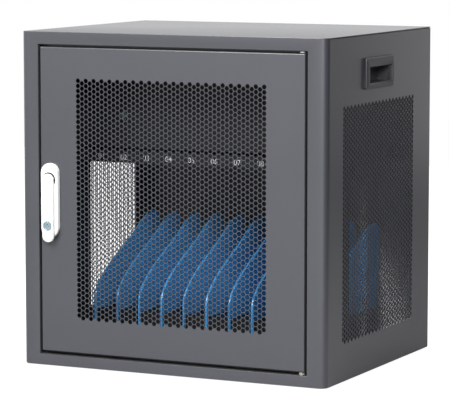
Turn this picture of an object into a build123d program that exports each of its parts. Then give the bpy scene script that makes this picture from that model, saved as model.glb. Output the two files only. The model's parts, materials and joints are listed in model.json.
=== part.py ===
from build123d import *
from math import cos, radians, sin, sqrt
import os

os.makedirs("parts", exist_ok=True)

# Laptop charging cabinet: a powder-coated sheet steel box with a perforated door.
# Lengths are in millimetres. +Z is up, the door faces -Y, and the origin is under
# the middle of the overall box. A "depth" below is measured back from the front face.

# Outer box
width = 522.0
depth = 420.0
body_height = 526.0
sheet = 1.5
corner_radius = 12.0
corner_wrap = 14.0
lip = 12.0
handle_proud = 14.0
inlet_proud = 3.0
foot_height = 2.0
foot_radius = 10.0
foot_inset = 34.0

# Front frame and door
stile = 30.5
top_rail = 19.5
bottom_rail = 17.5
side_gap = 3.5
top_gap = 3.5
bottom_gap = 5.0
door_depth = 13.0
door_edge = 0.8
stop_gap = 3.5
stop_lip = 8.0
bumper_radius = 3.5
bumper_air = 0.3
bumper_inset = 110.0

# Perforation: hexagonal holes in staggered columns, drawn at a coarser pitch
perforation_pitch = 8.0
hole_share = 0.8
coarse_step = 6.0
door_window_width = 326.0
door_window_height = 374.0
door_window_z = 267.0
side_window_length = 281.0
side_window_height = 362.0
side_window_z = 241.0
right_window_depth = 206.0
left_window_depth = 236.0

# Hinge pins of the door
hinge_pin_radius = 2.5
hinge_inset = 7.0
hinge_pin_reach = 12.0
hinge_head_radius = 4.5
hinge_head_height = 3.0
hinge_block_width = 16.0
hinge_block_height = 14.0
running_fit = 0.05
washer_air = 0.3
washer_radius = 4.5

# Lifting handle, lock and latch
handle_inset = 19.0
handle_z = 264.5
escutcheon_width = 30.0
escutcheon_length = 117.0
escutcheon_thickness = 8.0
escutcheon_edge = 1.5
recess_radius = 11.5
recess_depth = 5.0
handle_air = 0.3
hub_drop = 26.0
spindle_radius = 5.0
spindle_square = 7.0
spindle_end_radius = 3.0
spindle_end_spare = 1.0
seat_fit = 0.02
lift_angle = 25.0
tongue_width = 8.0
tongue_radius = 2.5
tongue_air = 0.3
lever_pin_radius = 1.0
lever_pin_length = 17.0
lever_pin_rise = 3.0
lever_pin_depth = 5.0
lever_width = 20.0
lever_boss_radius = 9.0
lever_overhang = 7.0
lever_edge = 1.5
pocket_spare = 2.2
lock_rise = 0.4
lock_ring_radius = 7.5
lock_plug_radius = 6.0
lock_depth = 4.5
lock_from_tip = 26.0
keyway_width = 1.6
keyway_length = 6.0
keyway_depth = 3.0
cam_thickness = 2.5
cam_width = 14.0
cam_length = 22.0
cam_air = 0.5
nut_across = 10.0
nut_height = 4.0
screw_across = 7.0
screw_head_height = 2.5
screw_inset = 12.0

# Side grips
grip_length = 110.0
grip_height = 48.0
grip_radius = 3.0
grip_rise = 4.5
grip_depth = 199.0
grip_from_top = 61.0
pocket_length = 92.0
pocket_set_back = 5.0
pocket_height = 25.0
pocket_drop = 5.5
pocket_reach = 22.0
pocket_wall = 2.0
pocket_air = 0.3

# Laptop bay
slot_count = 10
bay_side_gap = 32.0
end_divider_gap = 29.0
inner_front = 114.0
upright_length = 49.0
shelf_top = 74.0
shelf_front = 131.5
shelf_back_air = 12.0
shelf_side_air = 0.3
divider_thickness = 4.0
divider_front = 125.0
divider_back = 352.0
divider_foot = 34.0
divider_knee = 93.0
divider_top = 214.0
divider_shoulder = 18.0
divider_knee_run = 7.0
divider_knee_rise = 18.0
divider_low_run = 59.0
divider_low_rise = 55.0
divider_high_run = 145.0
divider_high_rise = 98.0
divider_hook_gap = 0.3
divider_window_depth = 292.0
divider_window_z = 91.0
divider_window_long = 30.0
divider_window_middle = 26.0
divider_window_short = 21.0

# Power compartment
floor_z = 316.0
label_height = 20.0
cable_gap = 5.0
cover_air = 0.5
flange = 12.0
knob_x = 135.0
knob_z = 392.0
knob_radius = 7.0
knob_length = 10.0
knob_shank_radius = 2.0
knob_shank_length = 8.0
strip_end_air = 12.5
strip_depth = 48.0
strip_height = 42.0
strip_edge_radius = 3.0
strip_back_air = 10.0
outlet_size = 33.0
outlet_rise = 3.0
outlet_slot_length = 7.0
outlet_slot_width = 2.0
outlet_slot_depth = 2.5
outlet_slot_spread = 12.0

# Mains inlet and switch in the back panel
inlet_x = 150.0
inlet_z = 400.0
inlet_flange_width = 48.0
inlet_flange_height = 26.0
inlet_body_width = 29.0
inlet_body_height = 21.0
inlet_body_depth = 24.0
inlet_recess_width = 24.5
inlet_recess_height = 17.0
inlet_recess_depth = 18.0
inlet_pin_width = 2.0
inlet_pin_height = 4.0
inlet_pin_length = 14.0
inlet_pin_spread = 7.0
inlet_pin_offset = 2.0
switch_x = 100.0
switch_flange_width = 22.0
switch_flange_height = 31.0
switch_aperture_width = 15.0
switch_aperture_height = 23.0
switch_wall = 1.5
switch_depth = 14.0
rocker_width = 14.2
rocker_half = 10.5
rocker_face = 2.0
rocker_root = 3.0
rocker_taper = 0.8
rocker_tilt = 8.0
rocker_pivot_depth = 2.0
rocker_stub_radius = 1.5
rocker_stub_reach = 1.2
cutout_air = 0.3

# Fastenings of the cabinet
anchor_radius = 4.5
anchor_spacing_x = 360.0
anchor_spacing_y = 280.0
back_screw_across = 7.0
back_screw_head_height = 1.8

# Worked out from the sizes above
front_y = -(depth + handle_proud + inlet_proud) / 2 + handle_proud
back_y = front_y + depth
mid_y = front_y + depth / 2
base_z = foot_height
top_z = base_z + body_height
inside_bottom = base_z + sheet
inside_top = top_z - sheet
inside_half = width / 2 - sheet

opening_half = width / 2 - stile
opening_bottom = base_z + bottom_rail
opening_top = top_z - top_rail
opening_z = (opening_bottom + opening_top) / 2
opening_height = opening_top - opening_bottom
jamb_depth = door_depth + stop_gap + sheet

leaf_half = opening_half - side_gap
leaf_bottom = opening_bottom + bottom_gap
leaf_top = opening_top - top_gap
leaf_z = (leaf_bottom + leaf_top) / 2
hinge_x = leaf_half - hinge_inset
hinge_depth = door_depth / 2

handle_x = -leaf_half + handle_inset
hub_z = handle_z + escutcheon_length / 2 - hub_drop
lever_bottom = handle_z - escutcheon_length / 2 - lever_overhang
lock_z = lever_bottom + lock_from_tip
lever_front = -(handle_proud - lock_rise)
lever_back = -(escutcheon_thickness + handle_air)
boss_back = recess_depth - escutcheon_thickness - handle_air
lever_pin_y = lever_front + lever_pin_depth
lever_pin_z = hub_z + lever_pin_rise
cam_front = jamb_depth + cam_air

grip_z = top_z - grip_from_top
pocket_z = grip_z - pocket_drop / 2
pocket_middle = grip_depth + pocket_set_back
body_mid = (inside_bottom + inside_top) / 2
back_screw_rise = inside_top - inside_bottom - lip

inner_half = width / 2 - bay_side_gap
slot_pitch = 2 * (inner_half - end_divider_gap) / slot_count
divider_x = [(n - slot_count / 2) * slot_pitch for n in range(slot_count + 1)]
strip_length = 2 * (inner_half - sheet - strip_end_air)


def facing_front(back):
    # Plane parallel to the front face; local x is +X and local y is +Z
    return Plane(origin=(0, front_y + back, 0), x_dir=(1, 0, 0), z_dir=(0, -1, 0))


def facing_side(x):
    # Plane square to X; local x is +Y, measured from the front face, and local y is +Z
    return Plane(origin=(x, front_y, 0), x_dir=(0, 1, 0), z_dir=(1, 0, 0))


def back_screw_spots():
    # Two rows of screws, through the back panel and the lips behind it
    return [Location((x, z)) for x in (-inside_half / 2, 0, inside_half / 2)
            for z in (body_mid - back_screw_rise / 2, body_mid + back_screw_rise / 2)]


def hexagon_field(length, height):
    # Columns of hexagonal holes, every second column half a pitch lower
    pitch = perforation_pitch * coarse_step
    column_step = pitch * sqrt(3) / 2
    rows = int((height - pitch / 2) // pitch)
    columns = int(length // column_step)
    with HexLocations(pitch / 2, columns, rows):
        RegularPolygon(pitch * hole_share / 2, 6, major_radius=False)


# Front frame: rounded front corners that wrap onto the sides, a jamb round the
# door opening and a stop lip behind the door
with BuildPart() as front_frame:
    with BuildSketch(Plane.XY.offset(inside_bottom)):
        with Locations((0, front_y)):
            Rectangle(width, corner_wrap, align=(Align.CENTER, Align.MIN))
    extrude(amount=inside_top - inside_bottom)
    fillet(front_frame.edges().filter_by(Axis.Z).group_by(Axis.Y)[0], corner_radius)
    open_faces = [front_frame.faces().sort_by(Axis.Y)[-1],
                  front_frame.faces().sort_by(Axis.Z)[0],
                  front_frame.faces().sort_by(Axis.Z)[-1]]
    offset(amount=-sheet, openings=open_faces)
    with BuildSketch(facing_front(0)):
        with Locations((0, opening_z)):
            Rectangle(2 * opening_half, opening_height)
    extrude(amount=-sheet, mode=Mode.SUBTRACT)
    with BuildSketch(facing_front(0)):
        with Locations((0, opening_z)):
            Rectangle(2 * opening_half + 2 * sheet, opening_height + 2 * sheet)
            Rectangle(2 * opening_half, opening_height, mode=Mode.SUBTRACT)
    extrude(amount=-jamb_depth)
    with BuildSketch(facing_front(jamb_depth - sheet)):
        with Locations((0, opening_z)):
            Rectangle(2 * opening_half + sheet, opening_height + sheet)
            Rectangle(2 * (opening_half - stop_lip), opening_height - 2 * stop_lip, mode=Mode.SUBTRACT)
    extrude(amount=-sheet)
    with Locations((hinge_x, front_y + hinge_depth, opening_z)):
        Cylinder(hinge_pin_radius + seat_fit, opening_height + 4 * sheet, mode=Mode.SUBTRACT)
front_frame.part.label = "front_frame"
export_step(front_frame.part, "parts/front_frame.step")

# Side panels: flat sheets with a perforated window and a cut-out for the grip
for side, name, window_depth in ((1, "right_side_panel", right_window_depth),
                                 (-1, "left_side_panel", left_window_depth)):
    inner_face = inside_half if side > 0 else -width / 2
    with BuildPart() as side_panel:
        with BuildSketch(facing_side(inner_face)):
            with Locations((corner_wrap, inside_bottom)):
                Rectangle(depth - corner_wrap, inside_top - inside_bottom, align=(Align.MIN, Align.MIN))
            with Locations((pocket_middle, pocket_z)):
                Rectangle(pocket_length + 2 * pocket_wall + 2 * pocket_air,
                          pocket_height + 2 * pocket_wall + 2 * pocket_air, mode=Mode.SUBTRACT)
        extrude(amount=sheet)
        with BuildSketch(facing_side(inner_face)):
            with Locations((window_depth, side_window_z)):
                hexagon_field(side_window_length, side_window_height)
        extrude(amount=sheet, mode=Mode.SUBTRACT)
    side_panel.part.label = name
    export_step(side_panel.part, f"parts/{name}.step")

# Top panel: rounded front corners and lips folded down inside the sides and back
with BuildPart() as top_panel:
    with BuildSketch(Plane.XY.offset(inside_top)):
        with Locations((0, mid_y)):
            Rectangle(width, depth)
    extrude(amount=sheet)
    fillet(top_panel.edges().filter_by(Axis.Z).group_by(Axis.Y)[0], corner_radius)
    with BuildSketch(Plane.XY.offset(inside_top)):
        with Locations((0, back_y - sheet)):
            Rectangle(2 * inside_half, depth - corner_wrap - sheet, align=(Align.CENTER, Align.MAX))
        with Locations((0, back_y - 2 * sheet)):
            Rectangle(2 * inside_half - 2 * sheet, depth - corner_wrap - 2 * sheet,
                      align=(Align.CENTER, Align.MAX), mode=Mode.SUBTRACT)
    extrude(amount=-lip)
top_panel.part.label = "top_panel"
export_step(top_panel.part, "parts/top_panel.step")

# Base panel: the same tray the other way up, with holes to bolt the cabinet down
with BuildPart() as base_panel:
    with BuildSketch(Plane.XY.offset(base_z)):
        with Locations((0, mid_y)):
            Rectangle(width, depth)
    extrude(amount=sheet)
    fillet(base_panel.edges().filter_by(Axis.Z).group_by(Axis.Y)[0], corner_radius)
    with BuildSketch(Plane.XY.offset(inside_bottom)):
        with Locations((0, back_y - sheet)):
            Rectangle(2 * inside_half, depth - corner_wrap - sheet, align=(Align.CENTER, Align.MAX))
        with Locations((0, back_y - 2 * sheet)):
            Rectangle(2 * inside_half - 2 * sheet, depth - corner_wrap - 2 * sheet,
                      align=(Align.CENTER, Align.MAX), mode=Mode.SUBTRACT)
    extrude(amount=lip)
    with Locations((0, mid_y, inside_bottom)):
        with GridLocations(anchor_spacing_x, anchor_spacing_y, 2, 2):
            Hole(anchor_radius, sheet)
base_panel.part.label = "base_panel"
export_step(base_panel.part, "parts/base_panel.step")

# Rubber feet stuck under the corners of the base
with BuildPart() as feet:
    with BuildSketch(Plane.XY):
        with Locations((0, mid_y)):
            with GridLocations(width - 2 * foot_inset, depth - 2 * foot_inset, 2, 2):
                Circle(foot_radius)
    extrude(amount=foot_height)
feet.part.label = "feet"
export_step(feet.part, "parts/feet.step")

# Back panel between the sides, with cut-outs for the mains inlet and its switch
with BuildPart() as back_panel:
    with BuildSketch(facing_front(depth - sheet)):
        with Locations((0, body_mid)):
            Rectangle(2 * inside_half, inside_top - inside_bottom)
        with Locations((inlet_x, inlet_z)):
            Rectangle(inlet_body_width + 2 * cutout_air, inlet_body_height + 2 * cutout_air,
                      mode=Mode.SUBTRACT)
        with Locations((switch_x, inlet_z)):
            Rectangle(switch_aperture_width + 2 * switch_wall + 2 * cutout_air,
                      switch_aperture_height + 2 * switch_wall + 2 * cutout_air, mode=Mode.SUBTRACT)
    extrude(amount=-sheet)
back_panel.part.label = "back_panel"
export_step(back_panel.part, "parts/back_panel.step")

# Hexagon heads of the screws that hold the back panel to the lips behind it
with BuildPart() as back_screws:
    with BuildSketch(facing_front(depth)):
        with Locations(*back_screw_spots()):
            RegularPolygon(back_screw_across / 2, 6, major_radius=False)
    extrude(amount=-back_screw_head_height)
back_screws.part.label = "back_screws"
export_step(back_screws.part, "parts/back_screws.step")

# Side grips: a moulded bezel round a closed finger pocket
with BuildPart() as right_grip:
    with BuildSketch(facing_side(width / 2)):
        with Locations((grip_depth, grip_z)):
            RectangleRounded(grip_length, grip_height, grip_radius)
    extrude(amount=grip_rise)
    with BuildSketch(facing_side(width / 2)):
        with Locations((pocket_middle, pocket_z)):
            Rectangle(pocket_length + 2 * pocket_wall, pocket_height + 2 * pocket_wall)
    extrude(amount=-(pocket_reach + pocket_wall))
    with BuildSketch(facing_side(width / 2 + grip_rise)):
        with Locations((pocket_middle, pocket_z)):
            Rectangle(pocket_length, pocket_height)
    extrude(amount=-(pocket_reach + grip_rise), mode=Mode.SUBTRACT)
right_grip.part.label = "right_grip"
export_step(right_grip.part, "parts/right_grip.step")

with BuildPart() as left_grip:
    mirror(right_grip.part, about=Plane.YZ)
left_grip.part.label = "left_grip"
export_step(left_grip.part, "parts/left_grip.step")

# Uprights that carry the power compartment
for side, name in ((1, "right_upright"), (-1, "left_upright")):
    with BuildPart() as upright:
        with BuildSketch(facing_side(side * inner_half)):
            with Locations((inner_front, inside_bottom)):
                Rectangle(upright_length, floor_z - inside_bottom, align=(Align.MIN, Align.MIN))
        extrude(amount=-side * sheet)
    upright.part.label = name
    export_step(upright.part, f"parts/{name}.step")

# Raised shelf that the laptops stand on, folded down to the base at front and back
shelf_half = inner_half - sheet - shelf_side_air
with BuildPart() as device_shelf:
    with BuildSketch(facing_side(-shelf_half)):
        with Locations((shelf_front, inside_bottom)):
            Rectangle(depth - 2 * sheet - shelf_back_air - shelf_front, shelf_top - inside_bottom,
                      align=(Align.MIN, Align.MIN))
        with Locations((shelf_front + sheet, inside_bottom)):
            Rectangle(depth - 4 * sheet - shelf_back_air - shelf_front, shelf_top - inside_bottom - sheet,
                      align=(Align.MIN, Align.MIN), mode=Mode.SUBTRACT)
    extrude(amount=2 * shelf_half)
device_shelf.part.label = "device_shelf"
export_step(device_shelf.part, "parts/device_shelf.step")

# Dividers: a front leg hooks over the shelf, the edge sweeps up towards the back
for number, x in enumerate(divider_x, start=1):
    name = f"divider_{number:02d}"
    with BuildPart() as divider:
        with BuildSketch(facing_side(x - divider_thickness / 2)):
            with BuildLine():
                leg = Line((divider_front, divider_foot), (divider_front, divider_knee))
                knee = TangentArc(leg @ 1,
                                  (divider_front + divider_knee_run, divider_knee + divider_knee_rise),
                                  tangent=leg % 1)
                sweep_up = Spline(knee @ 1,
                                  (divider_front + divider_low_run, divider_knee + divider_low_rise),
                                  (divider_front + divider_high_run, divider_knee + divider_high_rise),
                                  (divider_back - divider_shoulder, divider_top), tangents=(knee % 1, (1, 0)))
                shoulder = TangentArc(sweep_up @ 1, (divider_back, divider_top - divider_shoulder),
                                      tangent=(1, 0))
                Polyline(shoulder @ 1, (divider_back, shelf_top),
                         (shelf_front - divider_hook_gap, shelf_top),
                         (shelf_front - divider_hook_gap, divider_foot), leg @ 0)
            make_face()
        extrude(amount=divider_thickness)
        with BuildSketch(facing_side(x - divider_thickness / 2)):
            with Locations((divider_window_depth, divider_window_z)):
                Triangle(a=divider_window_long, b=divider_window_middle, c=divider_window_short)
        extrude(amount=divider_thickness, mode=Mode.SUBTRACT)
    divider.part.label = name
    export_step(divider.part, f"parts/{name}.step")

# Power compartment: floor, label rail, two sides and a removable front cover
with BuildPart() as compartment_floor:
    with BuildSketch(Plane.XY.offset(floor_z)):
        with Locations((0, front_y + inner_front + sheet)):
            Rectangle(2 * inner_half, depth - inner_front - 3 * sheet, align=(Align.CENTER, Align.MIN))
    extrude(amount=sheet)
compartment_floor.part.label = "compartment_floor"
export_step(compartment_floor.part, "parts/compartment_floor.step")

with BuildPart() as label_rail:
    with BuildSketch(facing_front(inner_front)):
        with Locations((0, floor_z + label_height / 2)):
            Rectangle(2 * inner_half, label_height)
    extrude(amount=-sheet)
label_rail.part.label = "label_rail"
export_step(label_rail.part, "parts/label_rail.step")

for side, name in ((1, "right_compartment_side"), (-1, "left_compartment_side")):
    with BuildPart() as compartment_side:
        with BuildSketch(Plane.XY.offset(floor_z + sheet)):
            with Locations((side * inner_half, front_y + inner_front + sheet)):
                Rectangle(sheet, depth - inner_front - 3 * sheet,
                          align=(Align.MAX if side > 0 else Align.MIN, Align.MIN))
                Rectangle(flange, sheet, align=(Align.MAX if side > 0 else Align.MIN, Align.MIN))
        extrude(amount=inside_top - floor_z - sheet)
    compartment_side.part.label = name
    export_step(compartment_side.part, f"parts/{name}.step")

cover_bottom = floor_z + label_height + cable_gap
cover_top = inside_top - cover_air
with BuildPart() as compartment_cover:
    with BuildSketch(facing_front(inner_front)):
        with Locations((0, (cover_bottom + cover_top) / 2)):
            Rectangle(2 * inner_half, cover_top - cover_bottom)
        with Locations((-knob_x, knob_z), (knob_x, knob_z)):
            Circle(knob_shank_radius + running_fit, mode=Mode.SUBTRACT)
    extrude(amount=-sheet)
compartment_cover.part.label = "compartment_cover"
export_step(compartment_cover.part, "parts/compartment_cover.step")

with BuildPart() as cover_knobs:
    with BuildSketch(facing_front(inner_front)):
        with Locations((-knob_x, knob_z), (knob_x, knob_z)):
            Circle(knob_radius)
    extrude(amount=knob_length)
    with BuildSketch(facing_front(inner_front)):
        with Locations((-knob_x, knob_z), (knob_x, knob_z)):
            Circle(knob_shank_radius)
    extrude(amount=-knob_shank_length)
cover_knobs.part.label = "cover_knobs"
export_step(cover_knobs.part, "parts/cover_knobs.step")

# Power strip on the compartment floor, with one outlet for each slot
strip_y = back_y - 2 * sheet - strip_back_air - strip_depth / 2
strip_top = floor_z + sheet + strip_height
with BuildPart() as power_strip:
    with BuildSketch(Plane.XY.offset(floor_z + sheet)):
        with Locations((0, strip_y)):
            Rectangle(strip_length, strip_depth)
    extrude(amount=strip_height)
    fillet(power_strip.edges().filter_by(Axis.X).group_by(Axis.Z)[-1], strip_edge_radius)
power_strip.part.label = "power_strip"
export_step(power_strip.part, "parts/power_strip.step")

with BuildPart() as outlets:
    with BuildSketch(Plane.XY.offset(strip_top)):
        with Locations((0, strip_y)):
            with GridLocations(slot_pitch, slot_pitch, slot_count, 1):
                Rectangle(outlet_size, outlet_size)
    extrude(amount=outlet_rise)
    with BuildSketch(Plane.XY.offset(strip_top + outlet_rise)):
        with Locations((0, strip_y)):
            with GridLocations(slot_pitch, slot_pitch, slot_count, 1):
                with GridLocations(outlet_slot_spread, outlet_slot_spread, 2, 1):
                    Rectangle(outlet_slot_width, outlet_slot_length)
    extrude(amount=-outlet_slot_depth, mode=Mode.SUBTRACT)
outlets.part.label = "outlets"
export_step(outlets.part, "parts/outlets.step")

# Mains inlet: flange and body with a recess for the lead's plug, and its three blades
with BuildPart() as mains_inlet:
    with BuildSketch(facing_front(depth)):
        with Locations((inlet_x, inlet_z)):
            Rectangle(inlet_flange_width, inlet_flange_height)
    extrude(amount=-inlet_proud)
    with BuildSketch(facing_front(depth)):
        with Locations((inlet_x, inlet_z)):
            Rectangle(inlet_body_width, inlet_body_height)
    extrude(amount=inlet_body_depth)
    with BuildSketch(facing_front(depth + inlet_proud)):
        with Locations((inlet_x, inlet_z)):
            Rectangle(inlet_recess_width, inlet_recess_height)
    extrude(amount=inlet_recess_depth, mode=Mode.SUBTRACT)
mains_inlet.part.label = "mains_inlet"
export_step(mains_inlet.part, "parts/mains_inlet.step")

with BuildPart() as inlet_blades:
    with BuildSketch(facing_front(depth + inlet_proud - inlet_recess_depth)):
        with Locations((inlet_x - inlet_pin_spread, inlet_z - inlet_pin_offset),
                       (inlet_x, inlet_z + inlet_pin_offset),
                       (inlet_x + inlet_pin_spread, inlet_z - inlet_pin_offset)):
            Rectangle(inlet_pin_width, inlet_pin_height)
    extrude(amount=-inlet_pin_length)
inlet_blades.part.label = "inlet_blades"
export_step(inlet_blades.part, "parts/inlet_blades.step")

# Mains switch: a bezel with bearing holes, and the rocker on its two stubs
rocker_pivot = depth - rocker_pivot_depth
with BuildPart() as switch_bezel:
    with BuildSketch(facing_front(depth)):
        with Locations((switch_x, inlet_z)):
            Rectangle(switch_flange_width, switch_flange_height)
    extrude(amount=-inlet_proud)
    with BuildSketch(facing_front(depth)):
        with Locations((switch_x, inlet_z)):
            Rectangle(switch_aperture_width + 2 * switch_wall, switch_aperture_height + 2 * switch_wall)
    extrude(amount=switch_depth)
    with BuildSketch(facing_front(depth + inlet_proud)):
        with Locations((switch_x, inlet_z)):
            Rectangle(switch_aperture_width, switch_aperture_height)
    extrude(amount=switch_depth + inlet_proud - switch_wall, mode=Mode.SUBTRACT)
    with BuildSketch(facing_side(switch_x)):
        with Locations((rocker_pivot, inlet_z)):
            Circle(rocker_stub_radius + running_fit)
    extrude(amount=switch_aperture_width, both=True, mode=Mode.SUBTRACT)
switch_bezel.part.label = "switch_bezel"
export_step(switch_bezel.part, "parts/switch_bezel.step")

rocker_plane = Plane(origin=(switch_x, front_y + rocker_pivot, inlet_z),
                     x_dir=(0, cos(radians(rocker_tilt)), sin(radians(rocker_tilt))), z_dir=(1, 0, 0))
rocker_end = rocker_face + rocker_half * sin(radians(rocker_tilt))
with BuildPart() as rocker:
    with BuildSketch(rocker_plane):
        with BuildLine():
            Polyline((rocker_end, rocker_half), (rocker_face, 0), (rocker_end, -rocker_half),
                     (-rocker_root, rocker_taper - rocker_half), (-rocker_root, rocker_half - rocker_taper),
                     close=True)
        make_face()
    extrude(amount=rocker_width / 2, both=True)
    with BuildSketch(rocker_plane):
        Circle(rocker_stub_radius)
    extrude(amount=rocker_width / 2 + rocker_stub_reach, both=True)
rocker.part.label = "rocker"
export_step(rocker.part, "parts/rocker.step")

# Door: a shallow tray with a perforated window
with BuildPart() as door_panel:
    with BuildSketch(facing_front(0)):
        with Locations((0, leaf_z)):
            Rectangle(2 * leaf_half, leaf_top - leaf_bottom)
    extrude(amount=-door_depth)
    offset(amount=-sheet, openings=door_panel.faces().sort_by(Axis.Y)[-1])
    chamfer(door_panel.faces().sort_by(Axis.Y)[0].edges(), door_edge)
    with BuildSketch(facing_front(0)):
        with Locations((0, door_window_z)):
            hexagon_field(door_window_width, door_window_height)
    extrude(amount=-sheet, mode=Mode.SUBTRACT)
    with BuildSketch(facing_front(0)):
        with Locations((handle_x, hub_z)):
            Circle(spindle_radius + handle_air)
    extrude(amount=-sheet, mode=Mode.SUBTRACT)
    with Locations((hinge_x, front_y + hinge_depth, leaf_z)):
        Cylinder(hinge_pin_radius + running_fit, leaf_top - leaf_bottom + sheet, mode=Mode.SUBTRACT)
door_panel.part.label = "door_panel"
export_step(door_panel.part, "parts/door_panel.step")

# Blocks welded in the door's two hinge corners, bored for the pins
with BuildPart() as door_hinge_blocks:
    block_x = leaf_half - sheet - hinge_block_width / 2
    block_y = front_y + (sheet + door_depth) / 2
    for block_z in (leaf_top - sheet - hinge_block_height / 2, leaf_bottom + sheet + hinge_block_height / 2):
        with Locations((block_x, block_y, block_z)):
            Box(hinge_block_width, door_depth - sheet, hinge_block_height)
    with Locations((hinge_x, front_y + hinge_depth, leaf_z)):
        Cylinder(hinge_pin_radius + running_fit, leaf_top - leaf_bottom, mode=Mode.SUBTRACT)
door_hinge_blocks.part.label = "door_hinge_blocks"
export_step(door_hinge_blocks.part, "parts/door_hinge_blocks.step")

# Hinge pins, dropped through the jamb from outside, each with a flat head
hinge_y = front_y + hinge_depth
pin_top_end = leaf_top - sheet - hinge_pin_reach
pin_bottom_end = leaf_bottom + sheet + hinge_pin_reach
with BuildPart() as hinge_pins:
    with BuildSketch(Plane.XY.offset(pin_top_end)):
        with Locations((hinge_x, hinge_y)):
            Circle(hinge_pin_radius)
    extrude(amount=opening_top + sheet - pin_top_end)
    with BuildSketch(Plane.XY.offset(opening_top + sheet)):
        with Locations((hinge_x, hinge_y)):
            Circle(hinge_head_radius)
    extrude(amount=hinge_head_height)
    with BuildSketch(Plane.XY.offset(opening_bottom - sheet)):
        with Locations((hinge_x, hinge_y)):
            Circle(hinge_pin_radius)
    extrude(amount=pin_bottom_end - opening_bottom + sheet)
    with BuildSketch(Plane.XY.offset(opening_bottom - sheet - hinge_head_height)):
        with Locations((hinge_x, hinge_y)):
            Circle(hinge_head_radius)
    extrude(amount=hinge_head_height)
hinge_pins.part.label = "hinge_pins"
export_step(hinge_pins.part, "parts/hinge_pins.step")

# Plain washers that keep the door centred in its opening
with BuildPart() as hinge_washers:
    for washer_z, washer_height in ((opening_top - top_gap + washer_air, top_gap - washer_air),
                                    (opening_bottom, bottom_gap - washer_air)):
        with BuildSketch(Plane.XY.offset(washer_z)):
            with Locations((hinge_x, hinge_y)):
                Circle(washer_radius)
                Circle(hinge_pin_radius + seat_fit, mode=Mode.SUBTRACT)
        extrude(amount=washer_height)
hinge_washers.part.label = "hinge_washers"
export_step(hinge_washers.part, "parts/hinge_washers.step")

# Soft bumpers on the stop lip, under the latch side of the door
with BuildPart() as door_bumpers:
    with BuildSketch(facing_front(jamb_depth - sheet)):
        with Locations((-opening_half + bumper_radius + sheet / 2, opening_bottom + bumper_inset),
                       (-opening_half + bumper_radius + sheet / 2, opening_top - bumper_inset)):
            Circle(bumper_radius)
    extrude(amount=stop_gap - bumper_air)
door_bumpers.part.label = "door_bumpers"
export_step(door_bumpers.part, "parts/door_bumpers.step")

# Escutcheon: the long plate under the handle, with a round recess for the lever's boss
with BuildPart() as escutcheon:
    with BuildSketch(facing_front(0)):
        with Locations((handle_x, handle_z)):
            SlotOverall(escutcheon_length, escutcheon_width, rotation=90)
    extrude(amount=escutcheon_thickness)
    chamfer(escutcheon.faces().sort_by(Axis.Y)[0].edges(), escutcheon_edge)
    with BuildSketch(facing_front(-escutcheon_thickness)):
        with Locations((handle_x, hub_z)):
            Circle(recess_radius)
    extrude(amount=-recess_depth, mode=Mode.SUBTRACT)
    with BuildSketch(facing_front(0)):
        with Locations((handle_x, hub_z)):
            Circle(spindle_radius + running_fit)
    extrude(amount=escutcheon_thickness, mode=Mode.SUBTRACT)
escutcheon.part.label = "escutcheon"
export_step(escutcheon.part, "parts/escutcheon.step")

# Hexagon heads of the screws that hold the escutcheon from behind the door
with BuildPart() as escutcheon_screws:
    with BuildSketch(facing_front(sheet)):
        with Locations((handle_x, handle_z + escutcheon_length / 2 - screw_inset),
                       (handle_x, handle_z - escutcheon_length / 2 + screw_inset)):
            RegularPolygon(screw_across / 2, 6, major_radius=False)
    extrude(amount=-screw_head_height)
escutcheon_screws.part.label = "escutcheon_screws"
export_step(escutcheon_screws.part, "parts/escutcheon_screws.step")

# Hub: a shaft through the door with a tongue for the lever's pin at the front, and a
# square seat for the cam and a threaded end for its nut at the back
with BuildPart() as handle_hub:
    with BuildSketch(facing_front(boss_back)):
        with Locations((handle_x, hub_z)):
            Circle(spindle_radius)
    extrude(amount=boss_back - cam_front)
    with BuildSketch(facing_front(cam_front)):
        with Locations((handle_x, hub_z)):
            Rectangle(spindle_square, spindle_square)
    extrude(amount=-cam_thickness)
    with BuildSketch(facing_front(cam_front + cam_thickness)):
        with Locations((handle_x, hub_z)):
            Circle(spindle_end_radius)
    extrude(amount=-(nut_height + spindle_end_spare))
    with BuildSketch(facing_side(handle_x)):
        with Locations((lever_pin_y, lever_pin_z)):
            Circle(tongue_radius)
            Rectangle(boss_back - lever_pin_y, 2 * tongue_radius, align=(Align.MIN, Align.CENTER))
            Circle(lever_pin_radius + running_fit, mode=Mode.SUBTRACT)
    extrude(amount=tongue_width / 2, both=True)
handle_hub.part.label = "handle_hub"
export_step(handle_hub.part, "parts/handle_hub.step")

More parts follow.
